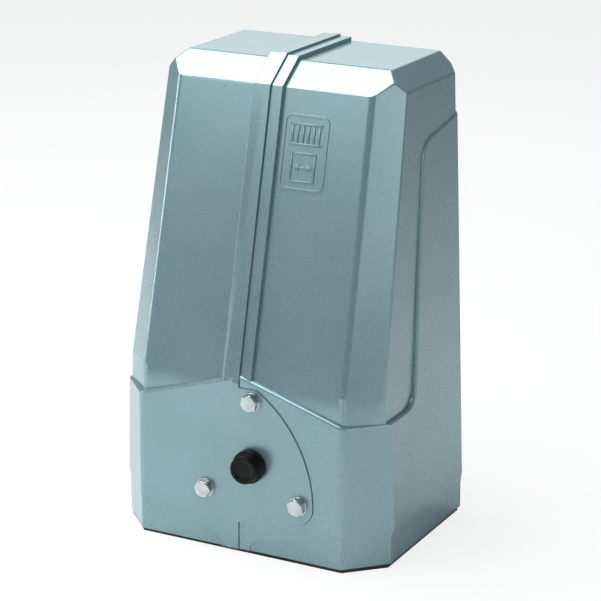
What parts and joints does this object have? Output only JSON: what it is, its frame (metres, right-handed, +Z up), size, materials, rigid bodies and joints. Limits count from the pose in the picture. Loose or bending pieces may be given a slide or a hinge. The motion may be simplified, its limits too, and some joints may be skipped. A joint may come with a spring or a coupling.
{
  "type": "sliding gate motor",
  "caption": "Upright worm-gear drive for a sliding gate: two-part die-cast housing on a base plate, black release knob and bolted gear lobe in front, drive pinion behind.",
  "frame": {"origin": "centre of the base plate's underside, in the middle of its four anchor slots", "axes": "+Z up; +Y towards the gate, so the knob faces -Y; +X to the right of someone facing the knob"},
  "size_m": [0.3138, 0.2818, 0.5063],
  "materials": {
    "silver_paint": "satin metallic silver-grey paint on die-cast aluminium",
    "zinc_steel": "zinc-plated",
    "cast_iron": "as cast",
    "cast_aluminium": "die-cast",
    "steel": "machined",
    "bronze": "machined bronze",
    "copper": "enamelled copper",
    "laminations": "lacquered sheet stack",
    "black_plastic": "moulded black plastic",
    "black_rubber": "moulded rubber",
    "board_green": "solder-masked glass epoxy",
    "green_plastic": "moulded green plastic",
    "white_plastic": "moulded white plastic"
  },
  "bodies": {
    "housing": {"base_plate": "zinc_steel", "left_shell": "silver_paint", "right_shell": "silver_paint", "flange_washers": "zinc_steel", "flange_bolts": "zinc_steel", "seam_screws": "zinc_steel", "foot_screws": "zinc_steel", "gear_case": "cast_iron", "gear_case_cover": "cast_iron", "cover_screws": "zinc_steel", "case_bolts": "zinc_steel", "oil_plug": "steel", "shaft_bushes": "bronze", "shaft_seal": "black_rubber", "bearing_outer_rings": "steel", "worm_seal": "black_rubber", "motor_flange": "cast_aluminium", "motor_housing": "cast_aluminium", "stator_core": "steel", "stator_windings": "copper", "motor_end_shield": "cast_aluminium", "fan_cowl": "black_plastic", "board_bracket": "zinc_steel", "board_standoffs": "white_plastic", "control_board": "board_green", "board_components": "black_plastic", "terminal_blocks": "green_plastic", "transformer_core": "laminations", "transformer_coil": "copper", "motor_capacitor": "white_plastic", "capacitor_clip": "zinc_steel", "cable_grommet": "black_rubber", "bracket_screws": "zinc_steel", "limit_switch_case": "black_plastic", "micro_switches": "black_plastic"},
    "drive": {"output_shaft": "steel", "worm_wheel": "bronze", "clutch_drum": "steel", "clutch_hub": "steel", "clutch_outer_plates": "steel", "clutch_inner_plates": "bronze", "pressure_plate": "zinc_steel", "disc_springs": "zinc_steel", "drive_pinion": "steel", "pinion_key": "steel", "pinion_washer": "zinc_steel", "pinion_bolt": "zinc_steel"},
    "rotor": {"worm_shaft": "steel", "rotor_core": "steel", "fan": "black_plastic", "bearing_inner_rings": "steel"},
    "release_knob": {"knob": "black_plastic", "knob_spindle": "steel"},
    "spring_seat": {"spring_seat": "zinc_steel"},
    "limit_lever": {"limit_lever": "zinc_steel", "limit_cam": "zinc_steel"},
    "lever_roller": {"lever_roller": "black_rubber"}
  },
  "joints": [
    {"name": "drive_turn", "type": "hinge", "parent": "housing", "child": "drive", "pos_m": [0.015, 0, 0.1], "axis": [0, 1, 0], "continuous": true},
    {"name": "rotor_turn", "type": "hinge", "parent": "housing", "child": "rotor", "pos_m": [-0.045, 0.022, 0.1], "axis": [0, 0, 1], "continuous": true},
    {"name": "knob_turn", "type": "hinge", "parent": "drive", "child": "release_knob", "pos_m": [0.015, -0.12, 0.1], "axis": [0, -1, 0], "range_deg": [0, 720]},
    {"name": "seat_slide", "type": "slide", "parent": "drive", "child": "spring_seat", "axis": [0, -1, 0], "range_m": [0, 0.003]},
    {"name": "lever_swing", "type": "hinge", "parent": "housing", "child": "limit_lever", "pos_m": [0.03, 0.1, 0.176], "axis": [0, 1, 0], "range_deg": [-30, 30], "stiffness_Nm_per_rad": 0.5},
    {"name": "roller_turn", "type": "hinge", "parent": "limit_lever", "child": "lever_roller", "pos_m": [0.03, 0.1234, 0.22], "axis": [0, 1, 0], "continuous": true}
  ],
  "couplings": [
    {"joint": "rotor_turn", "follows": "drive_turn", "ratio": -30},
    {"joint": "knob_turn", "follows": "seat_slide", "rad_per_m": 4188.8}
  ]
}
